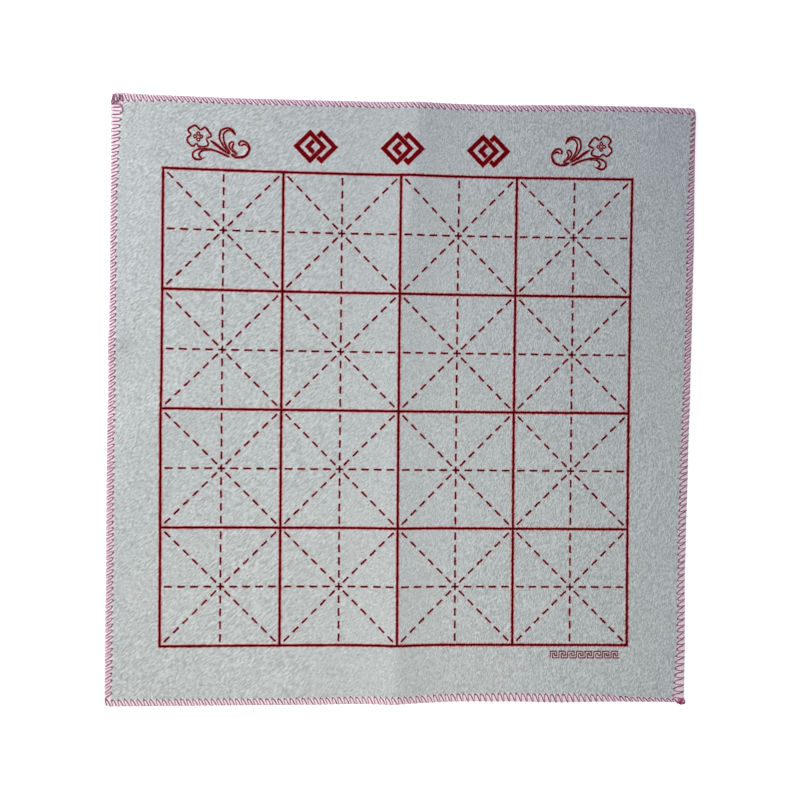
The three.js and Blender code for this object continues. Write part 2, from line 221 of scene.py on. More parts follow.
KNOT_STRANDS = (
    ((239.6, -255.8, 1.2), (241.0, -257.0, 1.8), (242.6, -257.4, 2.0), (244.2, -256.4, 2.2),
     (245.4, -255.2, 2.0), (247.0, -255.4, 2.0), (248.2, -256.8, 1.6), (248.0, -258.6, 0.9),
     (246.4, -259.6, 0.3), (244.4, -259.4, 0.2), (243.0, -258.4, 1.0)),
    ((241.4, -258.6, 0.4), (243.4, -258.2, 1.6), (245.2, -257.4, 2.3), (247.0, -257.6, 2.0),
     (248.2, -259.2, 1.0)),
    ((244.6, -260.0, 0.2), (245.2, -258.2, 1.9), (245.6, -256.4, 2.6), (246.4, -255.0, 2.2),
     (247.2, -254.0, 1.5)),
)
TAIL_PALENESS = 0.1
HOOK_PALENESS = 0.25
# paleness of the knot's three strands; the third is painted pale as a highlight
KNOT_PALENESS_AND_HIGHLIGHT = (0.10, 0.0, 0.45)

# Print
INK_TOP = 0.11 * MM
INK_RIM = 0.05 * MM
INK_SINK = 0.12 * MM
INK_LAYER = 0.004 * MM  # how far each stroke of a figure lies under the one before it
FILM_HEIGHT = 1.0 * MM  # height of a flat figure's film before it is laid on the felt
FILM_PLANE = 0.01 * MM  # points nearer to a flat figure's plane than this are its rim
PRINT_CENTRE = (-4.5 * MM, -6.0 * MM)
PRINT_REACH = 200 * MM
CELL = 100 * MM
CELLS = 4
GRID_LINE = 3.8 * MM
GRID_RIM = GRID_LINE / 8  # edges nearer than this to the grid's outline are on it
GRID_CUTS = 44
DASH_LENGTH = 6.8 * MM
DASH_WIDTH = 2.6 * MM
DASH_ROUND = 0.35 * MM
DASH_STEPS = 4
DASH_QUARTER = (0.2, 0.3)  # where a dash's quarter points are, as shares of its length
DASH_END_STEP = 0.4  # where they are moved, for its last steps
DASH_TIP = 0.45  # share of its length past which a dash's corners are
STRAIGHT_FIRST = 3.2 * MM
STRAIGHT_PITCH = 10.85 * MM
STRAIGHT_DASHES = 4
CENTRE_CROSS = 6.4 * MM
CROSS_RIM = 0.49  # share of the cross's square past which an edge is on its rim
DIAGONAL_FIRST = 4.8 * MM
DIAGONAL_PITCH = 10.85 * MM
DIAGONAL_DASHES = 6
MARK_RINGS = (0.6 * MM, 1.7 * MM, 1.7 * MM, 0.6 * MM)  # steps across the stroke of a heading mark
MARK_CUTS = 11
STROKE_STEPS = 6
STAMEN_SPREAD = 2.5 * MM
STAMEN_RADIUS = 1.2 * MM
STAMEN_STROKE = 1.7 * MM
STAMEN_SIDES = 12
FRET_STROKE = 1.3 * MM
FRET_REPEATS = 8
FRET_ROWS = 3
FRET_COLUMNS = 4
FRET_TURNS = ((0, 0), (0, 3), (3, 3), (3, 1), (2, 1), (2, 2), (1, 2), (1, 0))
FRET_CORNER = 0.3 * MM

# How the sewn felt has drawn the print out of square: mm of shift for each power of the place, from the
# print's middle
PRINT_DRAW_X = (0.14, -1.67, -0.35, 0.00, -0.12, 0.40, 1.03, 0.15, 0.43, 0.00)
PRINT_DRAW_Y = (-0.70, -0.32, -0.43, 0.35, 0.20, 0.43, -0.01, 1.05, 0.10, 0.56)

FLOWER_SHIFT = {"left": (-1.0 * MM, -0.5 * MM), "right": (-0.1 * MM, -0.2 * MM)}
STROKE_FULLNESS = 1.9  # how much the strokes have spread in the felt
STROKE_RUN_OUT = 0.5  # share of a stroke's first and last step in which its end narrows
PETAL_END = 0.8  # width of a stroke's end, as a share of its own
SCROLL_END = 0.4
INK_STEPS = 2  # bevel steps of a drawn stroke
UNIT_SECTION = 1.0  # radius of a drawn stroke's section, which its half width then scales
STROKE_MIDDLE_LEAN = 0.9  # a drawn stroke's section looks at least this far up along its middle
STROKE_SIDE_LEAN = 0.5  # and this far between its middle and its rim
# How far the ink has soaked in, from 0 at a stroke's rim, where it has bled, to 1
FULL_SOAK = 1.0
STROKE_SIDE_SOAK = 0.43
MARK_SOAK = 0.66
REACHED = (0.06, 0.20)  # from bare felt to bled ink
BLED = (0.30, 0.60)  # from bled ink to the print's body
SOAKED = (0.45, 1.0)  # from there to its deepest tone
WICKING = 0.08  # how far the fibres draw the ink past these

# Flower scroll of the left end, in mm from the flower's middle: strokes of (points, widths along them)
PETAL_STROKES = (
    (((-5.7, 1.3), (-8.3, 4.7), (-6.4, 7.4), (-2.2, 8.8), (1.7, 5.1)), (1.2, 1.2)),
    (((1.7, 5.1), (5.4, 7.6), (8.4, 4.8), (10.6, 0.7), (6.2, -1.5)), (1.2, 1.2)),
    (((6.2, -1.5), (8.3, -5.4), (7.2, -7.5), (1.3, -8.4), (-1.4, -5.8)), (1.2, 1.2)),
    (((-1.4, -5.8), (-4.6, -8.0), (-7.8, -5.8), (-9.1, -2.4), (-5.7, 1.3)), (1.2, 1.2)),
)
SCROLL_STROKES = (
    (((9.6, -2.6), (15.6, -6.6), (20.0, -10.0), (25.0, -12.8), (27.2, -13.5)), (1.3, 1.8, 1.7, 1.3, 1.1)),
    (((31.2, 1.7), (28.2, 6.0), (23.9, 7.8), (18.9, 5.6), (17.6, 0), (19.9, -5.6), (23.0, -9.2),
      (26.3, -12.6)), (0.9, 2.0, 1.3, 1.3, 1.3, 1.2, 1.1, 1.0)),
    (((28.6, 5.4), (26.6, 6.5), (23.0, 5.4), (20.9, 2.0), (21.3, -3.0), (22.9, -6.6), (25.2, -10.3),
      (27.2, -12.8)), (1.2, 1.6, 1.2, 1.2, 1.2, 1.2, 1.1, 1.0)),
    (((30.4, -4.2), (27.6, -3.5), (25.6, -6.4), (27.6, -10.0), (31.0, -12.7), (33.1, -13.6)),
     (1.1, 1.3, 1.2, 1.0)),
    (((30.4, -4.2), (28.3, -6.9), (29.2, -10.0), (31.6, -12.5), (33.1, -13.6)), (1.0, 1.2, 1.2, 1.0)),
    (((27.2, -13.4), (30.2, -14.3), (33.3, -13.8)), (1.0, 1.1, 1.0)),
    (((35.5, -6.8), (33.8, -5.0), (36.3, -2.3), (41.0, -4.4), (42.5, -9.4), (39.2, -14.8), (32.6, -16.1),
      (29.3, -15.2), (27.0, -13.4)), (1.0, 1.2, 1.2, 1.4, 1.7, 1.5, 1.3, 1.1)),
    (((35.5, -6.8), (37.9, -5.1), (40.9, -6.2), (42.5, -9.4)), (1.0, 1.2, 1.2, 1.0)),
    (((26.6, -16.2), (22.7, -14.6), (19.0, -12.9), (10.5, -10.3), (2.0, -10.1), (-3.4, -12.6),
      (-4.3, -16.6), (-0.5, -19.1), (5.7, -17.1)), (1.2, 1.3, 1.4, 1.3, 1.2, 1.2, 1.3, 1.4, 0.8)),
    (((3.3, -17.9), (0.6, -14.9), (4.4, -11.2), (12.8, -11.1)), (1.2, 1.2, 1.2, 1.0)),
)

# Colours, linear
FELT_DARK = (0.355, 0.374, 0.378, 1)
FELT_LIGHT = (0.708, 0.746, 0.754, 1)
# Felt of the sewn band: partly the pale pink fluff of the thread, partly painted highlight that makes the
# band brighter than its own colour
FELT_SEWN_AND_HIGHLIGHT = (0.970, 0.830, 0.905, 1)
BLED_DEEP = (0.660, 0.120, 0.150, 1)
BLED_PALE = (0.740, 0.400, 0.430, 1)
# Inks, each where it has soaked in, in its body and where the fibres show through
LINE_INK = ((0.045, 0.0003, 0.001, 1), (0.115, 0.0008, 0.003, 1), (0.230, 0.002, 0.006, 1))
DASH_INK = ((0.020, 0.0002, 0.001, 1), (0.055, 0.0005, 0.002, 1), (0.120, 0.001, 0.004, 1))
HEADING_INK = ((0.085, 0.0003, 0.001, 1), (0.125, 0.0004, 0.002, 1), (0.270, 0.002, 0.008, 1))
# Threads, each at its deepest and at its palest; for the edging thread these two ends also hold painted
# shade and painted highlight
EDGING_DYE_SHADE_AND_HIGHLIGHT = ((0.155, 0.004, 0.056, 1), (0.900, 0.420, 0.630, 1))
TIE_DYE = ((0.120, 0.010, 0.050, 1), (0.450, 0.090, 0.250, 1))
KNOT_DYE = ((0.190, 0.002, 0.058, 1), (0.750, 0.100, 0.300, 1))
WHITE = (1, 1, 1, 1)

# Grain of the felt: lean in degrees, scale, length of a fibre to its width, levels of detail
LEFT_GRAIN = (40, 1650, 5.0, 2)
RIGHT_GRAIN = (72, 1350, 3.0, 3)
FINE_GRAIN = (35, 3000, 3.2, 2)
GRAIN_ROUGHNESS = 0.55
GRAIN_CHANGE = (-0.17, 0.16)  # x where the left grain begins to give way, and where the right one is full
GRAIN_RANGE = (0.30, 0.70)
CLOUD_SCALE = 75
CLOUD_FLECK = (0.2, 0.8, -0.03, 0.03)  # a range of the noise, and how much of the flecks it gives
FINE_FLECK = (0.25, 0.75, -0.06, 0.06)
FINE_NAP = 0.35
BLED_FLECK = (0.1, 0.9)
BODY_FLECK = (0.25, 1.0)
DYE_SCALE = 260
DYE_FLECK = (0.3, 0.7, -0.16, 0.16)
PLY_FLECK = 0.16
SEWN_COVER = 0.9  # how much of the felt the thread's fluff and its painted highlight hide
# Finishes: roughness from the dark flecks to the light ones, gloss, sheen, and a bump's strength and height
FELT_ROUGHNESS = (0.98, 0.88)
FELT_GLOSS = 0.2
FELT_SHEEN = 0.15
FELT_SHEEN_ROUGHNESS = 0.6
FELT_BUMP = (0.8, 0.7 * MM)
INK_ROUGHNESS = (0.80, 0.95)
INK_GLOSS = 0.04
INK_BUMP = (0.6, 0.6 * MM)
THREAD_ROUGHNESS = (0.75, 0.55)
THREAD_GLOSS = 0.3
THREAD_SHEEN = 0.2
THREAD_BUMP = (0.5, 0.2 * MM)
FLOOR_COLOUR = (0.82, 0.82, 0.82, 1)
FLOOR_ROUGHNESS = 0.9

# Camera and light
CAMERA_PLACE = (-0.04651, 0.01018, 0.76923)
CAMERA_TURN = (-0.56, -3.24, 0.62)  # degrees about x, y and z, as one turn about their sum
CAMERA_LENS = 40.5
SENSOR = 36.0
CAMERA_CLIP = (0.01, 20)

KEY_PLACE = (-0.93, 0.557, 0.523)
KEY_POWER = 11.7
KEY_SIZE = 0.6
KEY_COLOUR = (1.02, 1.0, 0.97)
FILL_PLACE = (-0.076, -0.311, 0.649)
FILL_POWER = 3.1
FILL_SIZE = 0.5
FILL_COLOUR = (1.06, 1.0, 0.84)
WORLD_LEVEL = 0.11
WORLD_COLOUR = (0.65, 1.0, 1.75, 1)
FLOOR_SIZE = 8.0
FLOOR_FADE = (0.40, 1.00)  # how far from the mat's middle the lamps' light gives way to the floor's white
FLOOR_GLOW = (0.65, 1.00)

SEWING_SEED = 11
sewing = random.Random(SEWING_SEED)


def deselect_all():
    bpy.ops.object.select_all(action="DESELECT")


def take(piece):
    deselect_all()
    piece.select_set(True)
    bpy.context.view_layer.objects.active = piece


def smooth_step(low, high, value):
    share = min(max((value - low) / (high - low), 0.0), 1.0)
    return share * share * (3 - 2 * share)


def along_table(table, place):
    """Smooth value from a table of (place, value) rows."""
    if place <= table[0][0]:
        return table[0][1]
    for (start, first), (end, last) in zip(table, table[1:]):
        if place <= end:
            return first + (last - first) * smooth_step(start, end, place)
    return table[-1][1]


# Shape of the laid sheet

def fold_lift(x, y):
    to_head = smooth_step(FOLD_HEAD_START, cad_high.y, y)
    crest = FOLD_X + FOLD_HEAD_SHIFT * to_head
    flank = FOLD_LEFT_FLANK if x < crest else FOLD_RIGHT_FLANK + FOLD_HEAD_FLANK * to_head
    away = abs(x - crest) / flank
    away = math.hypot(away, FOLD_CREST_ROUND) - FOLD_CREST_ROUND
    to_foot = smooth_step(FOLD_FOOT_START, cad_low.y, y)
    height = FOLD_HEIGHT + FOLD_HEAD_RISE * to_head + FOLD_FOOT_RISE * to_foot
    return height * max(1 - away, 0) ** 2


def wrinkle_lift(x, y):
    over, up = x - WRINKLE_PLACE[0], y - WRINKLE_PLACE[1]
    along = (over * math.cos(WRINKLE_TURN) + up * math.sin(WRINKLE_TURN)) / WRINKLE_LENGTH
    across = (up * math.cos(WRINKLE_TURN) - over * math.sin(WRINKLE_TURN)) / WRINKLE_WIDTH
    return WRINKLE_HEIGHT * math.exp(-along * along - across * across)


def slack_lift(x, y):
    total = 0.0
    for middle_x, middle_y, reach_x, reach_y, height in LIFTS:
        over = (x / MM - middle_x) / reach_x
        up = (y / MM - middle_y) / reach_y
        total += height * MM * math.exp(-over * over - up * up)
    return total


def felt_lift(x, y):
    """How far the sheet stands off the table at a place."""
    lift = fold_lift(x, y) + wrinkle_lift(x, y) + slack_lift(x, y)
    for height, rate, level in UNEVENNESS:
        lift += height * (1 + noise.noise(Vector((x * rate, y * rate, level))))
    return lift


def side_places(x, y):
    """For each side: the depth of a place inside it, and its place along it."""
    return {
        "head": (cad_high.y - y, x),
        "foot": (y - cad_low.y, x),
        "left": (x - cad_low.x, y),
        "right": (cad_high.x - x, y),
    }


def sway(side, place):
    return along_table(EDGE_SWAY[side], place / MM) * MM


def swayed(x, y):
    """A place of the squared-up sheet, moved with the sway of its sewn edges."""
    shift = {}
    for side, (depth, place) in side_places(x, y).items():
        shift[side] = sway(side, place) * (1 - smooth_step(0, SWAY_REACH, depth))
    return x + shift["right"] - shift["left"], y + shift["head"] - shift["foot"]


def stitch_depth(side, place):
    return along_table(STITCH_DEPTH[side], place / MM) * MM


def inside_stitches(x, y, start, end):
    """1 at the cut edge and 0 in the field, changing between two shares of the stitches' depth."""
    most = 0.0
    for side, (depth, place) in side_places(x, y).items():
        reach = stitch_depth(side, place)
        most = max(most, 1 - smooth_step(start * reach, end * reach, depth))
    return most


def felt_top(x, y):
    return FELT_THICK + felt_lift(x, y)


# Felt

def spread(low, high, count, crowding=0.0, centre=0.0, reach=1.0):
    """Places of the sheet's lines between two edges: rings at each edge and a field between them."""
    rings = [ring * MM for ring in EDGE_RINGS]
    start, end = low + rings[-1], high - rings[-1]
    weights = []
    for step in range(SPREAD_STEPS):
        place = start + (end - start) * (step + 0.5) / SPREAD_STEPS
        weights.append(1 + crowding * math.exp(-(((place - centre) / reach) ** 2)))
    total = sum(weights)
    field = []
    reached = 0.0
    wanted = 1
    for step, weight in enumerate(weights):
        reached += weight
        while wanted < count and reached >= total * wanted / count:
            field.append(start + (end - start) * (step + 1) / SPREAD_STEPS)
            wanted += 1
    return [low + ring for ring in rings] + field + [high - ring for ring in reversed(rings)]


def rounded_corner(x, y, half_x, half_y):
    """Moves a place of a square corner on to the rounded one."""
    over = abs(x) - (half_x - CORNER_ROUND)
    up = abs(y) - (half_y - CORNER_ROUND)
    if over <= 0 or up <= 0:
        return x, y
    shrink = max(over, up) / math.hypot(over, up)
    return (
        math.copysign(half_x - CORNER_ROUND + over * shrink, x),
        math.copysign(half_y - CORNER_ROUND + up * shrink, y),
    )


def make_felt():
    low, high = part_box("felt_sheet")
    columns = spread(low.x, high.x, FIELD_COLUMNS, FOLD_CROWDING, FOLD_CROWD_X, FOLD_CROWD_REACH)
    rows = spread(low.y, high.y, FIELD_ROWS)
    deselect_all()
    bpy.ops.mesh.primitive_grid_add(x_subdivisions=len(columns) - 1, y_subdivisions=len(rows) - 1, size=1)
    felt = bpy.context.object
    felt.name = "felt_body"
    thick = felt.modifiers.new("thickness", "SOLIDIFY")
    thick.thickness = FLAT_HEIGHT
    thick.offset = 1.0
    bpy.ops.object.modifier_apply(modifier=thick.name)
    # mask of the sewn band, for the fluff's colour and its painted highlight
    fluff_and_highlight = felt.data.attributes.new("fluff_and_highlight", "FLOAT", "POINT")
    for vertex in felt.data.vertices:
        column = round((vertex.co.x + 0.5) * (len(columns) - 1))
        row = round((vertex.co.y + 0.5) * (len(rows) - 1))
        upper = vertex.co.z > FLAT_HEIGHT / 2
        square_x, square_y = columns[column], rows[row]
        depth = min(square_x - low.x, high.x - square_x, square_y - low.y, high.y - square_y)
        x, y = rounded_corner(square_x, square_y, high.x, high.y)
        half = MID_LEVEL - PRESS_DEPTH * inside_stitches(x, y, *PRESS)
        fluff_and_highlight.data[vertex.index].value = inside_stitches(x, y, *FLUFF_AND_HIGHLIGHT)
        rim = min(depth / RIM_ROUND, 1)
        half = RIM_HALF_HEIGHT + (half - RIM_HALF_HEIGHT) * math.sqrt(1 - (1 - rim) ** 2)
        x, y = swayed(x, y)
        level = MID_LEVEL + (half if upper else -half)
        vertex.co = (x, y, level + felt_lift(x, y))
    felt.data.update()
    bpy.ops.object.shade_smooth()
    return felt


# Threads

def corner_inset(gap):
    """How far the rounded corner draws the edge in, at a distance along the side from the corner."""
    if gap >= CORNER_ROUND:
        return 0.0
    short = CORNER_ROUND - max(gap, 0)
    return CORNER_ROUND - math.sqrt(max(CORNER_ROUND ** 2 - short ** 2, 0))


def edge_point(side, place, depth, level):
    """A point of the sewn edge: place along the side, depth inside it, level from the felt's middle."""
    if side in ("head", "foot"):
        gap = min(place - cad_low.x, cad_high.x - place)
    else:
        gap = min(place - cad_low.y, cad_high.y - place)
    depth = depth + corner_inset(gap)
    outwards = sway(side, place) * (1 - smooth_step(0, SWAY_REACH, depth)) - depth
    if side == "head":
        x, y = place, cad_high.y + outwards
    elif side == "foot":
        x, y = place, cad_low.y - outwards
    elif side == "left":
        x, y = cad_low.x - outwards, place
    else:
        x, y = cad_high.x + outwards, place
    if side in ("head", "foot"):
        x = swayed(place, y)[0]
    else:
        y = swayed(x, place)[1]
    return Vector((x, y, MID_LEVEL + level + felt_lift(x, y)))


def run_ends(side):
    """Start and end of a side's run of stitches, which go round by the head, right, foot and left."""
    low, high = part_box(f"{side}_edge_upper_looper")
    if side == "head":
        return low.x, high.x + RUN_ON[side]
    if side == "foot":
        return high.x, low.x - RUN_ON[side]
    if side == "left":
        return low.y, high.y + RUN_ON[side]
    return high.y, low.y - RUN_ON[side]


def stitch_starts(side):
    """Places where the stitches of a side begin, and where the last one ends."""
    start, end = run_ends(side)
    way = math.copysign(MM, end - start)
    starts = [start]
    pitch = along_table(STITCH_PITCH[side], start / MM)
    while (end - starts[-1]) / way > pitch / 2:
        starts.append(starts[-1] + pitch * way)
        pitch = along_table(STITCH_PITCH[side], starts[-1] / MM)
    stretch = (end - start) / (starts[-1] - start)
    return [start + (place - start) * stretch for place in starts]


def stitched_run(side, stitch, face=1, phase=0.0):
    """Run of stitches along a side: the place, thickness and paleness, which holds painted shade and
    highlight, of each of the thread's points.
    """
    starts = stitch_starts(side)
    start, end = starts[0], starts[-1]
    run = []
    for begin, finish in zip(starts, starts[1:]):
        step = finish - begin
        slip = sewing.uniform(-STITCH_SLIP, STITCH_SLIP)
        reach = 1 + sewing.uniform(-DEPTH_SLIP, DEPTH_SLIP)
        opening = along_table(STITCH_OPENING[side], begin / MM)
        for along, share, level, thickness, paleness_and_light in stitch:
            if along > RETURN_START:
                along += opening * (1 - share) * (1 - along)
            place = begin + (along + phase) * step
            place += (along_table(STITCH_LEAN[side], place / MM) + slip) * share * step
            if (place - end) * step > 0:
                place = end - END_CROWDING * (1 - along) * step
            elif (place - start) * step < 0:
                place = start + END_CROWDING * along * step
            depth = stitch_depth(side, place) * share * (reach if share > DEEP_HALF else 1)
            depth += RIM_LAP * max(1 - share, 0)
            run.append((edge_point(side, place, depth, level * MM * face), thickness, paleness_and_light))
    return run


def loose_run(strand, paleness_and_light):
    """A free end of thread, from its places."""
    run = []
    for x, y, level in strand:
        height = MID_LEVEL + level * MM + felt_lift(x * MM, y * MM)
        run.append((Vector((x * MM, y * MM, height)), 1.0, paleness_and_light))
    return run


def rounded_run(run):
    """The same run without repeated points, and with one more between each two, on a curve."""
    kept = [run[0]]
    for point in run[1:]:
        if (point[0] - kept[-1][0]).length > LEAST_STEP:
            kept.append(point)
    ends = [kept[0], *kept, kept[-1]]
    rounded = [kept[0]]
    for before, start, end, after in zip(ends, ends[1:], ends[2:], ends[3:]):
        place = (NEAR_PULL * (start[0] + end[0]) - before[0] - after[0]) / (2 * NEAR_PULL - 2)
        rounded.append((place, (start[1] + end[1]) / 2, (start[2] + end[2]) / 2))
        rounded.append(end)
    return rounded


def swept(name, points, radius, steps, twist="MINIMUM", closed=False):
    """A round section drawn along (place, thickness) points and made a mesh."""
    curve = bpy.data.curves.new(name, "CURVE")
    curve.dimensions = "3D"
    curve.twist_mode = twist
    curve.bevel_depth = radius
    curve.bevel_resolution = steps
    curve.use_fill_caps = True
    spline = curve.splines.new("POLY")
    spline.use_cyclic_u = closed
    spline.points.add(len(points) - 1)
    for point, (place, thickness) in zip(spline.points, points):
        point.co = (*place, 1)
        point.radius = thickness
    piece = bpy.data.objects.new(name, curve)
    bpy.context.collection.objects.link(piece)
    take(piece)
    bpy.ops.object.convert(target="MESH")
    return bpy.context.object


def tube(name, run, radius, material):
    """One thread: a round section along its run, with the length along it in its UV map."""
    run = rounded_run(run)
    thread = swept(name, [(place, thickness) for place, thickness, paleness_and_light in run], radius, THREAD_STEPS)
    along = [0.0]
    for start, end in zip(run, run[1:]):
        along.append(along[-1] + (end[0] - start[0]).length)
    for corner in thread.data.uv_layers[0].data:
        corner.uv.x = along[round(corner.uv.x * (len(run) - 1))]
    # paleness of each ring, which paints shade and highlight along the thread as well as its tone
    tone_and_light = thread.data.attributes.new("tone_and_light", "FLOAT", "POINT")
    for vertex in thread.data.vertices:
        ring = vertex.index // THREAD_SIDES - CAP_RINGS
        tone_and_light.data[vertex.index].value = run[max(ring, 0)][2]
    thread.data.materials.append(material)
    close_seams(thread)
    bpy.ops.object.shade_smooth()
    return thread


def close_seams(piece):
    take(piece)
    bpy.ops.object.mode_set(mode="EDIT")
    bpy.ops.mesh.select_all(action="SELECT")
    bpy.ops.mesh.remove_doubles(threshold=SEAM_GAP)
    bpy.ops.mesh.normals_make_consistent(inside=False)
    bpy.ops.object.mode_set(mode="OBJECT")


def joined(name, pieces):
    deselect_all()
    for piece in pieces:
        piece.select_set(True)
    bpy.context.view_layer.objects.active = pieces[0]
    if len(pieces) > 1:
        bpy.ops.object.join()
    whole = bpy.context.object
    whole.name = name
    whole.data.name = name
    return whole


def make_threads():
    threads = []
    for side in ("head", "right", "foot", "left"):
        upper = [tube("upper_run", stitched_run(side, LOOPER_STITCH), LOOPER_RADIUS, edging_thread)]
        if side == "head":
            for strand in START_TAILS:
                tail = loose_run(strand, TAIL_PALENESS)
                upper.append(tube("start_tail", tail, LOOPER_RADIUS, edging_thread))
        elif side == "left":
            upper.append(tube("end_hook", loose_run(END_HOOK, HOOK_PALENESS), LOOPER_RADIUS, edging_thread))
        elif side == "foot":
            for strand, paleness_and_light in zip(KNOT_STRANDS, KNOT_PALENESS_AND_HIGHLIGHT):
                upper.append(tube("corner_knot", loose_run(strand, paleness_and_light), KNOT_RADIUS, knot_thread))
        lower_run = stitched_run(side, LOOPER_STITCH, -UNDER_FACE, UNDER_PHASE)
        needle_run = stitched_run(side, NEEDLE_STITCH)
        lower = tube(f"{side}_lower_thread", lower_run, LOOPER_RADIUS * UNDER_FACE, edging_thread)
        needle = tube(f"{side}_tie_thread", needle_run, NEEDLE_RADIUS, tie_thread)
        threads.append((joined(f"{side}_upper_thread", upper), f"{side}_edge_upper_looper"))
        threads.append((lower, f"{side}_edge_lower_looper"))
        threads.append((needle, f"{side}_edge_needle_thread"))
    return threads


# Print

def drawn(x, y):
    """A place of the square print, where the sewn felt has drawn it."""
    over, up = (x - PRINT_CENTRE[0]) / PRINT_REACH, (y - PRINT_CENTRE[1]) / PRINT_REACH
    squares = (over ** 2, over * up, up ** 2)
    cubes = (over ** 3, over ** 2 * up, over * up ** 2, up ** 3)
    powers = (1, over, up, *squares, *cubes)
    return (
        x + MM * sum(share * power for share, power in zip(PRINT_DRAW_X, powers)),
        y + MM * sum(share * power for share, power in zip(PRINT_DRAW_Y, powers)),
    )


def soak_ink(piece, soaked_at):
    """Says at each point of a figure how far its ink has soaked in."""
    soak = piece.data.attributes.new("soak", "FLOAT", "POINT")
    for vertex in piece.data.vertices:
        soak.data[vertex.index].value = soaked_at(vertex)


def lay_on_felt(piece, ease=0.0):
    """Lays a flat printed figure on the felt: what is above its plane becomes the film's top."""
    for vertex in piece.data.vertices:
        flat = vertex.co.copy()
        x, y = drawn(flat.x, flat.y)
        if flat.z > FILM_PLANE:
            level = INK_TOP - ease
        elif flat.z < -FILM_PLANE:
            level = -INK_SINK
        else:
            level = INK_RIM - ease
        vertex.co = (x, y, felt_top(x, y) + level)
    piece.data.update()


def film(piece):
    """Gives a flat figure the two faces of a film of ink."""
    take(piece)
    thick = piece.modifiers.new("film", "SOLIDIFY")
    thick.thickness = FILM_HEIGHT
    thick.offset = 0.0
    bpy.ops.object.modifier_apply(modifier=thick.name)


def select_edges(piece, wanted):
    """Opens a piece for editing, with only the edges selected whose two ends pass a test."""
    mesh = piece.data
    take(piece)
    bpy.ops.object.mode_set(mode="EDIT")
    bpy.ops.mesh.select_mode(type="EDGE")
    bpy.ops.mesh.select_all(action="DESELECT")
    bpy.ops.object.mode_set(mode="OBJECT")
    for edge in mesh.edges:
        start, end = (mesh.vertices[index].co for index in edge.vertices)
        edge.select = wanted(start, end)
    bpy.ops.object.mode_set(mode="EDIT")


def cut_long_edges(piece, longest, cuts):
    """Cuts every edge over a length, so that the figure can follow the felt."""
    select_edges(piece, lambda start, end: (start - end).length > longest)
    bpy.ops.mesh.subdivide(number_cuts=cuts)
    bpy.ops.object.mode_set(mode="OBJECT")


def set_down(piece, x, y, turn=0.0):
    """Moves a piece to its place and puts the place into its mesh."""
    take(piece)
    piece.location = (x, y, 0)
    piece.rotation_euler = (0, 0, turn)
    bpy.ops.object.transform_apply(location=True, rotation=True, scale=True)


def copy_of(piece, name):
    take(piece)
    bpy.ops.object.duplicate()
    copy = bpy.context.object
    copy.name = name
    copy.data.name = name
    return copy


def on_middle_line(off, width):
    """Whether a point of a printed line is on its middle and not on its sides."""
    return off < width / 4


def grid_soak(vertex):
    place = vertex.co
    if max(abs(place.x), abs(place.y)) > CELLS * CELL / 2 + GRID_LINE / 4:
        return 0.0
    off_line = [abs(along / CELL - round(along / CELL)) * CELL for along in (place.x, place.y)]
    return FULL_SOAK if on_middle_line(min(off_line), GRID_LINE) else 0.0


def dash_soak(vertex):
    return FULL_SOAK if on_middle_line(abs(vertex.co.y), DASH_WIDTH) else 0.0


def cross_soak(vertex):
    return FULL_SOAK if on_middle_line(min(abs(vertex.co.x), abs(vertex.co.y)), DASH_WIDTH) else 0.0


def stroke_soak(vertex):
    lean = abs(vertex.normal.z)
    if lean > STROKE_MIDDLE_LEAN:
        return FULL_SOAK
    return STROKE_SIDE_SOAK if lean > STROKE_SIDE_LEAN else 0.0


def make_grid():
    half = CELLS * CELL / 2
    deselect_all()
    bpy.ops.mesh.primitive_grid_add(x_subdivisions=CELLS, y_subdivisions=CELLS, size=2 * half)
    grid = bpy.context.object
    grid.name = "grid_print"
    bpy.ops.object.mode_set(mode="EDIT")
    bpy.ops.mesh.select_mode(type="FACE")
    bpy.ops.mesh.select_all(action="SELECT")
    bpy.ops.mesh.inset(thickness=GRID_LINE / 2, depth=0, use_individual=True)
    bpy.ops.mesh.delete(type="ONLY_FACE")
    bpy.ops.object.mode_set(mode="OBJECT")

    def on_rim(start, end):
        middle = (start + end) / 2
        return max(abs(middle.x), abs(middle.y)) > half - GRID_RIM

    select_edges(grid, on_rim)
    bpy.ops.mesh.extrude_region_move()
    wider = 1 + GRID_LINE / 2 / half
    bpy.ops.transform.resize(value=(wider, wider, 1))
    bpy.ops.object.mode_set(mode="OBJECT")
    cut_long_edges(grid, CELL / 2, GRID_CUTS)
    film(grid)
    soak_ink(grid, grid_soak)
    set_down(grid, *PRINT_CENTRE)
    lay_on_felt(grid)
    return grid


def make_dash():
    deselect_all()
    bpy.ops.mesh.primitive_grid_add(x_subdivisions=DASH_STEPS, y_subdivisions=2, size=1)
    dash = bpy.context.object
    bpy.ops.object.mode_set(mode="EDIT")
    bpy.ops.transform.resize(value=(DASH_LENGTH, DASH_WIDTH, 1))
    bpy.ops.mesh.select_mode(type="VERT")
    bpy.ops.mesh.select_all(action="DESELECT")
    bpy.ops.object.mode_set(mode="OBJECT")
    for vertex in dash.data.vertices:
        out = abs(vertex.co.x) / DASH_LENGTH
        if DASH_QUARTER[0] < out < DASH_QUARTER[1]:
            vertex.co.x *= DASH_END_STEP / out
        vertex.select = out > DASH_TIP and not on_middle_line(abs(vertex.co.y), DASH_WIDTH)
    bpy.ops.object.mode_set(mode="EDIT")
    bpy.ops.mesh.bevel(offset=DASH_ROUND, segments=2, affect="VERTICES")
    bpy.ops.object.mode_set(mode="OBJECT")
    film(dash)
    soak_ink(dash, dash_soak)
    return dash


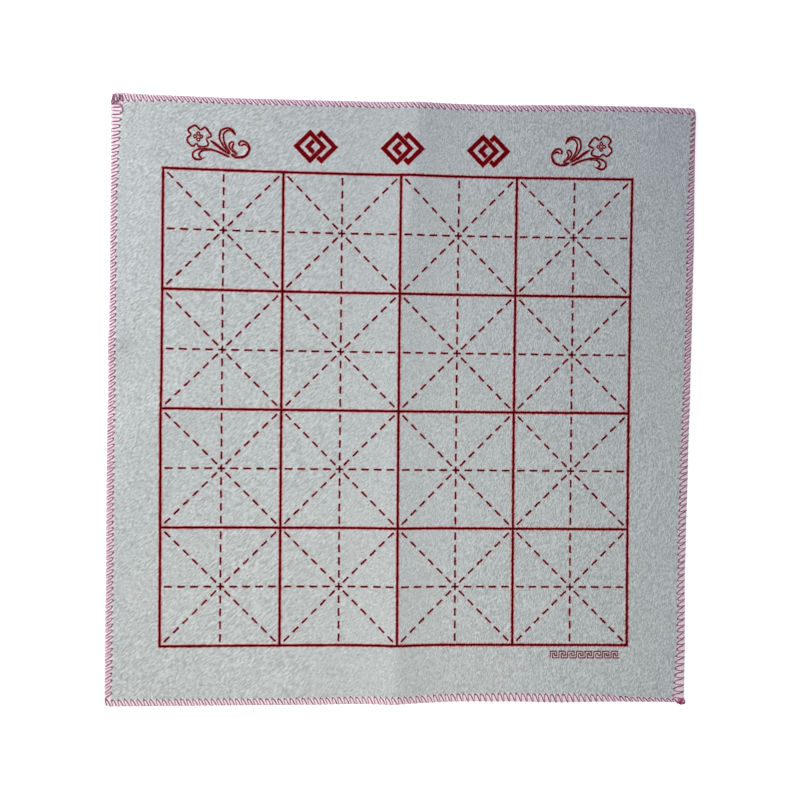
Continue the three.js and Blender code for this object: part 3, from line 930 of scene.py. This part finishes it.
def make_cross():
    """The small cross at a cell's middle: a square with an arm drawn out of each side."""
    arm = (CENTRE_CROSS - DASH_WIDTH) / 2
    deselect_all()
    bpy.ops.mesh.primitive_grid_add(x_subdivisions=2, y_subdivisions=2, size=DASH_WIDTH)
    cross = bpy.context.object
    for out_x, out_y in ((1, 0), (-1, 0), (0, 1), (0, -1)):

        def on_side(start, end):
            middle = (start + end) / 2
            outwards = middle.x * out_x + middle.y * out_y
            sideways = abs(middle.x * out_y) + abs(middle.y * out_x)
            return outwards > DASH_WIDTH * CROSS_RIM and sideways < DASH_WIDTH / 2

        select_edges(cross, on_side)
        bpy.ops.mesh.extrude_region_move(TRANSFORM_OT_translate={"value": (out_x * arm, out_y * arm, 0)})
        bpy.ops.object.mode_set(mode="OBJECT")
    film(cross)
    soak_ink(cross, cross_soak)
    return cross


def dash_places():
    """Middle and turn of every dash in one cell, from the cell's middle."""
    places = []
    for quarter in range(4):
        turn = quarter * math.pi / 2
        for number in range(STRAIGHT_DASHES):
            out = CELL / 2 - STRAIGHT_FIRST - number * STRAIGHT_PITCH - DASH_LENGTH / 2
            places.append((out * math.cos(turn), out * math.sin(turn), turn))
        slant = turn + math.pi / 4
        for number in range(DIAGONAL_DASHES):
            out = CELL / math.sqrt(2) - DIAGONAL_FIRST - number * DIAGONAL_PITCH - DASH_LENGTH / 2
            places.append((out * math.cos(slant), out * math.sin(slant), slant))
    return places


def make_cell_guides():
    """The dashes of one cell, with the small cross at its middle, flat and at the origin."""
    dash = make_dash()
    dashes = []
    for x, y, turn in dash_places():
        copy = copy_of(dash, "guide_dash")
        set_down(copy, x, y, turn)
        dashes.append(copy)
    dashes.append(make_cross())
    bpy.data.objects.remove(dash)
    return joined("cell_guides", dashes)


def make_guides():
    pattern = make_cell_guides()
    guides = []
    for row in range(CELLS):
        for column in range(CELLS):
            copy = copy_of(pattern, f"guides_print_row{row + 1}_col{column + 1}")
            x = PRINT_CENTRE[0] + (column - (CELLS - 1) / 2) * CELL
            y = PRINT_CENTRE[1] + ((CELLS - 1) / 2 - row) * CELL
            set_down(copy, x, y)
            lay_on_felt(copy)
            guides.append((copy, f"cell_guides_row{row + 1}_col{column + 1}"))
    bpy.data.objects.remove(pattern)
    return guides


def make_lozenge(reach):
    deselect_all()
    bpy.ops.mesh.primitive_circle_add(vertices=4, radius=reach, fill_type="NGON")
    lozenge = bpy.context.object
    bpy.ops.object.mode_set(mode="EDIT")
    bpy.ops.mesh.select_mode(type="FACE")
    bpy.ops.mesh.select_all(action="SELECT")
    for ring in MARK_RINGS:
        bpy.ops.mesh.inset(thickness=ring, depth=0)
    bpy.ops.mesh.delete(type="ONLY_FACE")
    bpy.ops.object.mode_set(mode="OBJECT")
    cut_long_edges(lozenge, 2 * sum(MARK_RINGS), MARK_CUTS)
    film(lozenge)
    rim = reach / math.sqrt(2)
    inner_rim = rim - sum(MARK_RINGS)

    def mark_soak(vertex):
        out = (abs(vertex.co.x) + abs(vertex.co.y)) / math.sqrt(2)
        on_rim = min(abs(out - rim), abs(out - inner_rim)) < MARK_RINGS[0] / 2
        return 0.0 if on_rim else MARK_SOAK

    soak_ink(lozenge, mark_soak)
    return lozenge


def make_mark(place):
    low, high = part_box(f"heading_mark_{place}")
    reach = (high.y - low.y) / 2
    shift = (high.x - low.x) / 2 - reach
    middle = (low + high) / 2
    rings = []
    for way in (-1, 1):
        ring = make_lozenge(reach)
        set_down(ring, middle.x + way * shift, middle.y)
        lay_on_felt(ring, INK_RIM / 2 if way > 0 else 0)
        rings.append(ring)
    return joined(f"heading_print_{place}", rings)


def smooth_path(points, steps):
    """Points of a curve through the drawn points, with a share of the way for each."""
    ends = [points[0], *points, points[-1]]
    path = []
    for number in range(len(points) - 1):
        before, start, end, after = (Vector(point) for point in ends[number:number + 4])
        for step in range(steps):
            share = step / steps
            bend = 2 * before - 5 * start + 4 * end - after
            turn = 3 * start - before - 3 * end + after
            place = (2 * start + (end - before) * share + bend * share ** 2 + turn * share ** 3) / 2
            path.append((place, (number + share) / (len(points) - 1)))
    path.append((Vector(points[-1]), 1.0))
    return path


def width_at(widths, share):
    spot = share * (len(widths) - 1)
    first = min(int(spot), len(widths) - 2)
    return widths[first] + (widths[first + 1] - widths[first]) * (spot - first)


def ink_stroke(points, closed):
    """A drawn stroke of (place, width) points, in metres, still flat."""
    section = [((*spot, 0), width / 2) for spot, width in points]
    stroke = swept("stroke", section, UNIT_SECTION, INK_STEPS, twist="Z_UP", closed=closed)
    close_seams(stroke)
    soak_ink(stroke, stroke_soak)
    return stroke


def ink_strokes(name, strokes, closed=False):
    """Drawn strokes made a film on the felt, each a little under the one before it."""
    pieces = []
    for number, points in enumerate(strokes):
        stroke = ink_stroke(points, closed)
        lay_on_felt(stroke, number * INK_LAYER)
        pieces.append(stroke)
    return joined(name, pieces)


def drawn_strokes(strokes, middle, way, end_width):
    """Strokes of a flower at their place, mirrored where way is -1, with ends of a share of their width."""
    placed = []
    for points, widths in strokes:
        stroke = []
        for place, share in smooth_path(points, STROKE_STEPS):
            spot = (middle.x + way * place.x * MM, middle.y + place.y * MM)
            from_end = min(share, 1 - share) * (len(points) - 1)
            fullness = end_width + (1 - end_width) * smooth_step(0, STROKE_RUN_OUT, from_end)
            stroke.append((spot, width_at(widths, share) * STROKE_FULLNESS * fullness * MM))
        placed.append(stroke)
    return placed


def stamen_rings(middle):
    rings = []
    for quarter in range(4):
        turn = quarter * math.pi / 2
        x = middle.x + STAMEN_SPREAD * math.cos(turn)
        y = middle.y + STAMEN_SPREAD * math.sin(turn)
        ring = []
        for step in range(STAMEN_SIDES):
            angle = 2 * math.pi * step / STAMEN_SIDES
            spot = (x + STAMEN_RADIUS * math.cos(angle), y + STAMEN_RADIUS * math.sin(angle))
            ring.append((spot, STAMEN_STROKE))
        rings.append(ring)
    return rings


def make_flowers():
    flowers = []
    for side, way in (("left", 1), ("right", -1)):
        low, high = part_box(f"{side}_flower_stamens")
        middle = (low + high) / 2 + Vector((*FLOWER_SHIFT[side], 0))
        figures = {
            "petals": drawn_strokes(PETAL_STROKES, middle, way, PETAL_END),
            "stamens": stamen_rings(middle),
            "scroll": drawn_strokes(SCROLL_STROKES, middle, way, SCROLL_END),
        }
        for figure, strokes in figures.items():
            drawing = ink_strokes(f"{side}_{figure}_print", strokes, closed=figure == "stamens")
            flowers.append((drawing, f"{side}_flower_{figure}"))
    return flowers


def make_fret():
    low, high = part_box("foot_fret_border")
    step = (high.y - low.y - FRET_STROKE) / FRET_ROWS
    right, foot = high.x - FRET_STROKE / 2, low.y + FRET_STROKE / 2
    turns = []
    for repeat in range(FRET_REPEATS):
        start = (repeat - FRET_REPEATS) * FRET_COLUMNS
        turns += [Vector((right + (start + x) * step, foot + y * step)) for x, y in FRET_TURNS]
    turns.append(Vector((right, foot)))
    path = [turns[0]]
    for before, corner, after in zip(turns, turns[1:], turns[2:]):
        path.append(corner + (before - corner).normalized() * FRET_CORNER)
        path.append(corner + (after - corner).normalized() * FRET_CORNER)
    path.append(turns[-1])
    return ink_strokes("fret_print", [[((spot.x, spot.y), FRET_STROKE) for spot in path]])


# Materials

def add_node(tree, kind, inputs=(), **settings):
    node = tree.nodes.new(kind)
    for name, value in settings.items():
        setattr(node, name, value)
    for socket, value in dict(inputs).items():
        if isinstance(value, bpy.types.NodeSocket):
            tree.links.new(value, node.inputs[socket])
        else:
            node.inputs[socket].default_value = value
    return node


def mixed_colour(tree, share, first, second):
    """A colour between two: a Mix node takes colours in at its sockets 6 and 7 and gives one out at 2."""
    mix = add_node(tree, "ShaderNodeMix", {0: share, 6: first, 7: second}, data_type="RGBA")
    return mix.outputs[2]


def maths(tree, first, second, operation="ADD"):
    return add_node(tree, "ShaderNodeMath", {0: first, 1: second}, operation=operation).outputs[0]


def stretched(tree, value, low, high, to_low=0.0, to_high=1.0):
    node = add_node(
        tree, "ShaderNodeMapRange",
        {"Value": value, "From Min": low, "From Max": high, "To Min": to_low, "To Max": to_high},
        interpolation_type="SMOOTHSTEP",
    )
    return node.outputs["Result"]


def leaning_noise(tree, place, lean, scale, length, detail):
    """Noise drawn out along one lean, as felted fibres lie."""
    turned = add_node(
        tree, "ShaderNodeMapping",
        {"Vector": place, "Rotation": (0, 0, math.radians(lean)), "Scale": (length, 1, 1)},
        vector_type="TEXTURE",
    )
    grain = add_node(
        tree, "ShaderNodeTexNoise",
        {"Vector": turned.outputs["Vector"], "Scale": scale, "Detail": detail,
         "Roughness": GRAIN_ROUGHNESS},
    )
    return grain.outputs["Fac"]


def make_fibre_web():
    """Group: flecks and nap of needled felt, which lean one way on the left and another on the right."""
    group = bpy.data.node_groups.new("fibre_web", "ShaderNodeTree")
    group.interface.new_socket("Place", in_out="INPUT", socket_type="NodeSocketVector")
    group.interface.new_socket("Fleck", in_out="OUTPUT", socket_type="NodeSocketFloat")
    group.interface.new_socket("Nap", in_out="OUTPUT", socket_type="NodeSocketFloat")
    entry = group.nodes.new("NodeGroupInput")
    leave = group.nodes.new("NodeGroupOutput")
    place = entry.outputs["Place"]
    split = add_node(group, "ShaderNodeSeparateXYZ", {"Vector": place})
    side = stretched(group, split.outputs["X"], *GRAIN_CHANGE)
    left = leaning_noise(group, place, *LEFT_GRAIN)
    right = leaning_noise(group, place, *RIGHT_GRAIN)
    web = add_node(group, "ShaderNodeMix", {0: side, 2: left, 3: right}, data_type="FLOAT").outputs[0]
    fine = leaning_noise(group, place, *FINE_GRAIN)
    cloud = add_node(group, "ShaderNodeTexNoise", {"Vector": place, "Scale": CLOUD_SCALE, "Detail": 1})
    cloud = stretched(group, cloud.outputs["Fac"], *CLOUD_FLECK)
    fleck = maths(group, stretched(group, web, *GRAIN_RANGE), cloud)
    fleck = maths(group, fleck, stretched(group, fine, *FINE_FLECK))
    nap = maths(group, web, maths(group, fine, FINE_NAP, "MULTIPLY"))
    group.links.new(fleck, leave.inputs["Fleck"])
    group.links.new(nap, leave.inputs["Nap"])
    return group


def new_material(name):
    material = bpy.data.materials.new(name)
    material.use_nodes = True
    tree = material.node_tree
    tree.nodes.clear()
    leave = tree.nodes.new("ShaderNodeOutputMaterial")
    shader = tree.nodes.new("ShaderNodeBsdfPrincipled")
    tree.links.new(shader.outputs["BSDF"], leave.inputs["Surface"])
    return material, tree, shader


def own_place(tree):
    return add_node(tree, "ShaderNodeTexCoord").outputs["Object"]


def fibre_web_on(tree):
    web = add_node(tree, "ShaderNodeGroup", node_tree=fibre_web)
    tree.links.new(own_place(tree), web.inputs["Place"])
    return web.outputs["Fleck"], web.outputs["Nap"]


def bumped(tree, shader, height, strength, distance):
    bump = add_node(tree, "ShaderNodeBump", {"Height": height, "Strength": strength, "Distance": distance})
    tree.links.new(bump.outputs["Normal"], shader.inputs["Normal"])


def make_felt_material():
    material, tree, shader = new_material("needled_felt")
    fleck, nap = fibre_web_on(tree)
    colour = mixed_colour(tree, fleck, FELT_DARK, FELT_LIGHT)
    fluff_and_highlight = add_node(tree, "ShaderNodeAttribute", attribute_name="fluff_and_highlight").outputs["Fac"]
    # the sewn band is painted paler and pinker: the thread's fluff, and painted highlight
    colour = mixed_colour(tree, maths(tree, fluff_and_highlight, SEWN_COVER, "MULTIPLY"), colour, FELT_SEWN_AND_HIGHLIGHT)
    tree.links.new(colour, shader.inputs["Base Color"])
    tree.links.new(stretched(tree, fleck, 0, 1, *FELT_ROUGHNESS), shader.inputs["Roughness"])
    shader.inputs["Specular IOR Level"].default_value = FELT_GLOSS
    shader.inputs["Sheen Weight"].default_value = FELT_SHEEN
    shader.inputs["Sheen Roughness"].default_value = FELT_SHEEN_ROUGHNESS
    bumped(tree, shader, nap, *FELT_BUMP)
    return material


def make_ink_material(name, soaked, deep, worn):
    material, tree, shader = new_material(name)
    fleck, nap = fibre_web_on(tree)
    bare = mixed_colour(tree, fleck, FELT_DARK, FELT_LIGHT)
    bled = mixed_colour(tree, stretched(tree, fleck, *BLED_FLECK), BLED_DEEP, BLED_PALE)
    body = mixed_colour(tree, stretched(tree, fleck, *BODY_FLECK), deep, worn)
    soak = add_node(tree, "ShaderNodeAttribute", attribute_name="soak").outputs["Fac"]
    soak = maths(tree, soak, stretched(tree, fleck, 0, 1, WICKING, -WICKING))
    colour = mixed_colour(tree, stretched(tree, soak, *REACHED), bare, bled)
    colour = mixed_colour(tree, stretched(tree, soak, *BLED), colour, body)
    colour = mixed_colour(tree, stretched(tree, soak, *SOAKED), colour, soaked)
    tree.links.new(colour, shader.inputs["Base Color"])
    tree.links.new(stretched(tree, fleck, 0, 1, *INK_ROUGHNESS), shader.inputs["Roughness"])
    shader.inputs["Specular IOR Level"].default_value = INK_GLOSS
    bumped(tree, shader, nap, *INK_BUMP)
    return material


def make_thread_material(name, deep, light):
    material, tree, shader = new_material(name)
    spot = add_node(tree, "ShaderNodeUVMap").outputs["UV"]
    split = add_node(tree, "ShaderNodeSeparateXYZ", {"Vector": spot})
    turns = maths(tree, split.outputs["X"], 1 / TWIST_LAY, "MULTIPLY")
    turns = maths(tree, turns, maths(tree, split.outputs["Y"], TWIST_PLIES, "MULTIPLY"))
    ply = maths(tree, maths(tree, turns, 2 * math.pi, "MULTIPLY"), 0.0, "SINE")
    ply = stretched(tree, ply, -1, 1)
    dye = add_node(tree, "ShaderNodeTexNoise", {"Vector": own_place(tree), "Scale": DYE_SCALE, "Detail": 3})
    dye = stretched(tree, dye.outputs["Fac"], *DYE_FLECK)
    # paleness along the thread: painted shade on its first legs, painted highlight on its return legs and
    # rim laps
    tone_and_light = add_node(tree, "ShaderNodeAttribute", attribute_name="tone_and_light").outputs["Fac"]
    share = maths(tree, maths(tree, ply, PLY_FLECK, "MULTIPLY"), dye)
    share = maths(tree, share, tone_and_light)
    tree.links.new(mixed_colour(tree, share, deep, light), shader.inputs["Base Color"])
    tree.links.new(stretched(tree, ply, 0, 1, *THREAD_ROUGHNESS), shader.inputs["Roughness"])
    shader.inputs["Specular IOR Level"].default_value = THREAD_GLOSS
    shader.inputs["Sheen Weight"].default_value = THREAD_SHEEN
    bumped(tree, shader, ply, *THREAD_BUMP)
    return material


# Stage

def seen_share(tree):
    """1 for the rays that show the background itself: from the camera, off gloss and through glass."""
    path = add_node(tree, "ShaderNodeLightPath")
    share = maths(tree, path.outputs["Is Camera Ray"], path.outputs["Is Glossy Ray"], "MAXIMUM")
    return maths(tree, share, path.outputs["Is Transmission Ray"], "MAXIMUM")


def make_floor():
    deselect_all()
    bpy.ops.mesh.primitive_grid_add(x_subdivisions=2, y_subdivisions=2, size=FLOOR_SIZE)
    floor = bpy.context.object
    floor.name = "floor"
    material, tree, shader = new_material("pale_floor")
    shader.inputs["Base Color"].default_value = FLOOR_COLOUR
    shader.inputs["Roughness"].default_value = FLOOR_ROUGHNESS
    shader.inputs["Emission Color"].default_value = WHITE
    away = add_node(tree, "ShaderNodeVectorMath", {0: own_place(tree)}, operation="LENGTH").outputs["Value"]
    glow = stretched(tree, away, *FLOOR_FADE, *FLOOR_GLOW)
    tree.links.new(maths(tree, seen_share(tree), glow, "MULTIPLY"), shader.inputs["Emission Strength"])
    floor.data.materials.append(material)


def make_world():
    world = bpy.data.worlds.new("studio")
    world.use_nodes = True
    tree = world.node_tree
    tree.nodes.clear()
    leave = tree.nodes.new("ShaderNodeOutputWorld")
    dim = add_node(tree, "ShaderNodeBackground", {"Color": WORLD_COLOUR, "Strength": WORLD_LEVEL})
    white = add_node(tree, "ShaderNodeBackground", {"Color": WHITE, "Strength": 1.0})
    both = add_node(
        tree, "ShaderNodeMixShader",
        {0: seen_share(tree), 1: dim.outputs["Background"], 2: white.outputs["Background"]},
    )
    tree.links.new(both.outputs["Shader"], leave.inputs["Surface"])
    bpy.context.scene.world = world


def make_lamp(name, place, power, size, colour):
    light = bpy.data.lights.new(name, "AREA")
    light.energy = power
    light.color = colour
    light.shape = "SQUARE"
    light.size = size
    lamp = bpy.data.objects.new(name, light)
    lamp.location = place
    lamp.rotation_mode = "QUATERNION"
    lamp.rotation_quaternion = (-Vector(place)).to_track_quat("-Z", "Y")
    lamp.visible_camera = False
    bpy.context.collection.objects.link(lamp)


def make_camera():
    data = bpy.data.cameras.new("camera")
    data.sensor_width = SENSOR
    data.lens = CAMERA_LENS
    data.clip_start, data.clip_end = CAMERA_CLIP
    camera = bpy.data.objects.new("camera", data)
    turn = Vector(math.radians(angle) for angle in CAMERA_TURN)
    camera.location = CAMERA_PLACE
    camera.rotation_mode = "QUATERNION"
    camera.rotation_quaternion = Quaternion(turn.normalized(), turn.length)
    bpy.context.collection.objects.link(camera)
    bpy.context.scene.camera = camera


def dress(piece, node):
    """Puts a finished piece in the place of its CAD node."""
    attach(piece, "root")
    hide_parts(node)


make_camera()
fibre_web = make_fibre_web()
needled_felt = make_felt_material()
line_ink = make_ink_material("line_ink", *LINE_INK)
dash_ink = make_ink_material("dash_ink", *DASH_INK)
heading_ink = make_ink_material("heading_ink", *HEADING_INK)
edging_thread = make_thread_material("edging_thread", *EDGING_DYE_SHADE_AND_HIGHLIGHT)
tie_thread = make_thread_material("tie_thread", *TIE_DYE)
knot_thread = make_thread_material("knot_thread", *KNOT_DYE)

felt = make_felt()
felt.data.materials.append(needled_felt)
dress(felt, "felt_sheet")

for thread, node in make_threads():
    dress(thread, node)

lines = [(make_grid(), "grid_lines"), (make_fret(), "foot_fret_border")]
heading = make_flowers()
heading += [(make_mark(place), f"heading_mark_{place}") for place in ("left", "middle", "right")]
for figures, ink in ((lines, line_ink), (make_guides(), dash_ink), (heading, heading_ink)):
    for figure, node in figures:
        figure.data.materials.clear()
        figure.data.materials.append(ink)
        dress(figure, node)

make_floor()
make_world()
make_lamp("key_lamp", KEY_PLACE, KEY_POWER, KEY_SIZE, KEY_COLOUR)
make_lamp("fill_lamp", FILL_PLACE, FILL_POWER, FILL_SIZE, FILL_COLOUR)
bpy.context.scene.view_settings.view_transform = "Standard"
